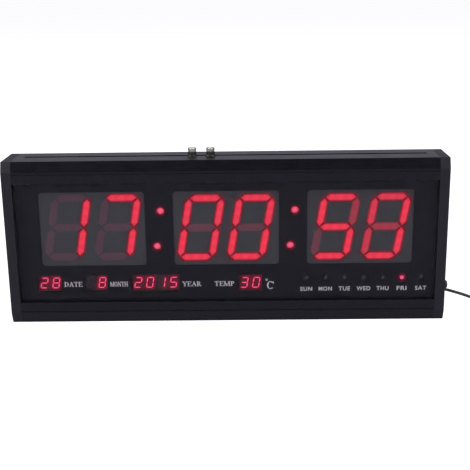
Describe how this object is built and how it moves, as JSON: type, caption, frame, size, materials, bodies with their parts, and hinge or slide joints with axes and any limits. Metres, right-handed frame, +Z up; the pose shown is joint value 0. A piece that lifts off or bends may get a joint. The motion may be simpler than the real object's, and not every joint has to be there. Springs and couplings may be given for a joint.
{
  "type": "led calendar clock",
  "caption": "Long black LED wall and desk calendar clock: slotted top rail with sliding hanging bolts, side push buttons, clear front and a plug-in supply lead.",
  "frame": {"origin": "on the surface the clock stands on, under the middle of its case", "axes": "+X along the case towards the buttons and the lead, +Y from the display to the back, +Z up"},
  "size_m": [0.661, 0.0845, 0.1912],
  "materials": {
    "rail_black": "black anodised, satin",
    "cap_black": "moulded black, satin",
    "cover_black": "black sheet, fine grain",
    "lens": "clear acrylic, glossy",
    "mask_black": "black printed film",
    "display_grey": "grey display face",
    "display_red": "dark red display face",
    "bar_red": "lit red epoxy",
    "lamp_red": "red diffused lamp",
    "board_black": "black solder mask",
    "chip_black": "moulded epoxy",
    "holder_black": "moulded black",
    "header_white": "natural nylon",
    "resistor_yellow": "dipped coating",
    "capacitor_sleeve": "shrink sleeve",
    "bright_metal": "bright nickel",
    "zinc_steel": "bright zinc plating",
    "black_screw": "black oxide",
    "brass": "plain brass",
    "button_black": "black rubber",
    "rubber_black": "soft black",
    "lead_black": "black sleeve",
    "adapter_black": "moulded black, fine spark grain"
  },
  "bodies": {
    "case": {"top_rail": "rail_black", "bottom_rail": "rail_black", "left_end_cap": "cap_black", "right_end_cap": "cap_black", "cap_screws": "black_screw", "front_lens": "lens", "legend_mask": "mask_black", "rear_cover": "cover_black", "small_segments": "bar_red", "colon_leds": "lamp_red", "weekday_leds": "lamp_red", "main_board": "board_black", "microcontroller": "chip_black", "clock_chip": "chip_black", "segment_drivers": "chip_black", "resistor_networks": "resistor_yellow", "crystal": "bright_metal", "capacitors": "capacitor_sleeve", "voltage_regulator": "chip_black", "buzzer": "chip_black", "battery_holder": "holder_black", "backup_cell": "bright_metal", "temperature_sensor": "chip_black", "board_headers": "header_white", "board_standoffs": "brass", "board_screws": "zinc_steel", "key_board": "board_black", "key_switches": "holder_black", "key_cable": "lead_black", "power_lead": "lead_black", "strain_relief": "rubber_black", "dc_lead": "lead_black", "dc_lead_coil": "lead_black", "dc_lead_tail": "lead_black", "adapter_relief": "rubber_black", "adapter_base": "adapter_black", "adapter_lid": "adapter_black", "adapter_blades": "bright_metal", "hour_display": "display_grey", "hour_segments": "bar_red", "minute_display": "display_grey", "minute_segments": "bar_red", "second_display": "display_grey", "second_segments": "bar_red", "date_display": "display_red", "month_display": "display_red", "year_display": "display_red", "temperature_display": "display_red"},
    "set_button": {"set_button": "button_black", "set_plunger": "holder_black"},
    "up_button": {"up_button": "button_black", "up_plunger": "holder_black"},
    "down_button": {"down_button": "button_black", "down_plunger": "holder_black"},
    "left_hanger": {"left_hanger_bolt": "zinc_steel", "left_hanger_washer": "zinc_steel", "left_hanger_nuts": "zinc_steel"},
    "right_hanger": {"right_hanger_bolt": "zinc_steel", "right_hanger_washer": "zinc_steel", "right_hanger_nuts": "zinc_steel"}
  },
  "joints": [
    {"name": "set_press", "type": "slide", "parent": "case", "child": "set_button", "axis": [-1, 0, 0], "range_m": [0, 0.001], "stiffness_N_per_m": 1500},
    {"name": "up_press", "type": "slide", "parent": "case", "child": "up_button", "axis": [-1, 0, 0], "range_m": [0, 0.001], "stiffness_N_per_m": 1500},
    {"name": "down_press", "type": "slide", "parent": "case", "child": "down_button", "axis": [-1, 0, 0], "range_m": [0, 0.001], "stiffness_N_per_m": 1500},
    {"name": "left_hanger_slide", "type": "slide", "parent": "case", "child": "left_hanger", "axis": [1, 0, 0], "range_m": [-0.18, 0.004]},
    {"name": "right_hanger_slide", "type": "slide", "parent": "case", "child": "right_hanger", "axis": [1, 0, 0], "range_m": [-0.004, 0.232]}
  ]
}
